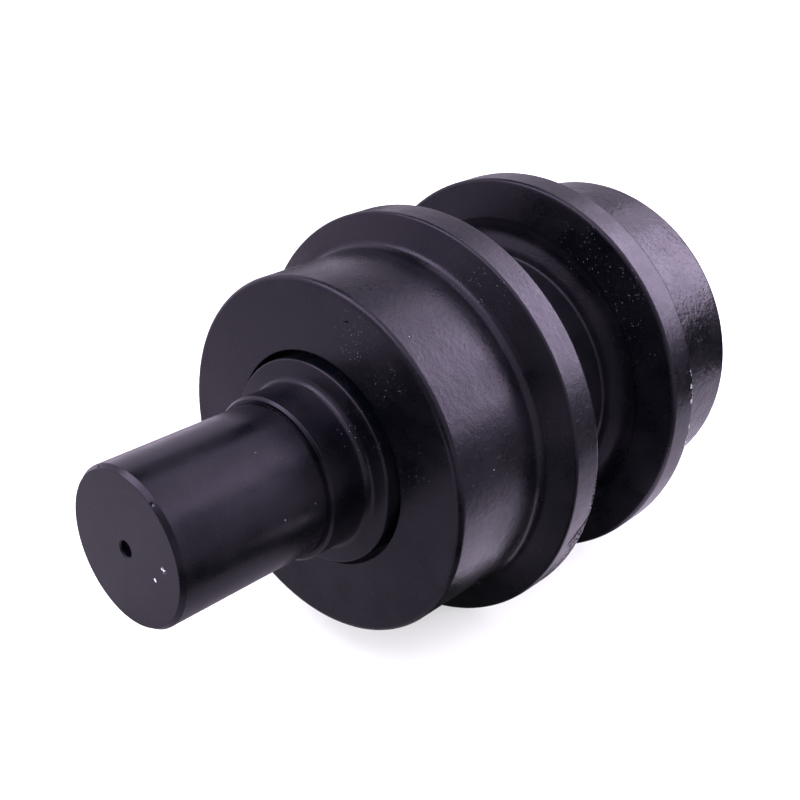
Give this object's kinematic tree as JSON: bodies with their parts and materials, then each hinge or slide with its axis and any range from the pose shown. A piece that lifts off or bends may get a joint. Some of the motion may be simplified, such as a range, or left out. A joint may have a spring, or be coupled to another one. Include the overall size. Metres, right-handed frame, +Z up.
{
  "type": "track roller",
  "caption": "Cantilevered track roller: a twin-flanged steel roller sealed on bushings, turning on a round shaft stub that a bracket clamps.",
  "frame": {"origin": "on the shaft's axis, at the inner end of the clamp seat on the stub, where the relief groove before the seal collar begins", "axes": "+Y along the shaft from the stub towards the roller and its end cover, +Z up, +X square to both; the roller spins about Y"},
  "size_m": [0.142, 0.2255, 0.142],
  "materials": {
    "black_paint": "satin black paint over forged and turned steel",
    "bare_steel": "turned and ground steel, oiled",
    "bolt_steel": "black oxide high tensile steel",
    "bronze": "bored bearing bronze",
    "copper": "soft copper sealing washer",
    "seal_rubber": "matt nitrile rubber"
  },
  "bodies": {
    "axle": {"shaft": "black_paint", "seal_collar": "black_paint", "collar_pin": "bare_steel", "collar_o_ring": "seal_rubber", "fixed_seal_ring": "bare_steel", "fixed_toric_ring": "seal_rubber", "retainer_plate": "bare_steel", "retainer_bolts": "bolt_steel", "retainer_lock_washers": "bolt_steel"},
    "roller": {"roller_shell": "black_paint", "inboard_bushing": "bronze", "outboard_bushing": "bronze", "rotating_seal_ring": "bare_steel", "rotating_toric_ring": "seal_rubber", "inner_thrust_washer": "bronze", "inner_washer_pins": "bare_steel", "outer_thrust_washer": "bronze", "outer_washer_pins": "bare_steel", "end_cover": "black_paint", "cover_o_ring": "seal_rubber", "cover_bolts": "black_paint", "cover_bolt_washers": "black_paint", "oil_plug": "black_paint", "oil_plug_washer": "copper"}
  },
  "joints": [
    {"name": "roller_spin", "type": "hinge", "parent": "axle", "child": "roller", "pos_m": [0, 0.096, 0], "axis": [0, 1, 0], "continuous": true}
  ]
}
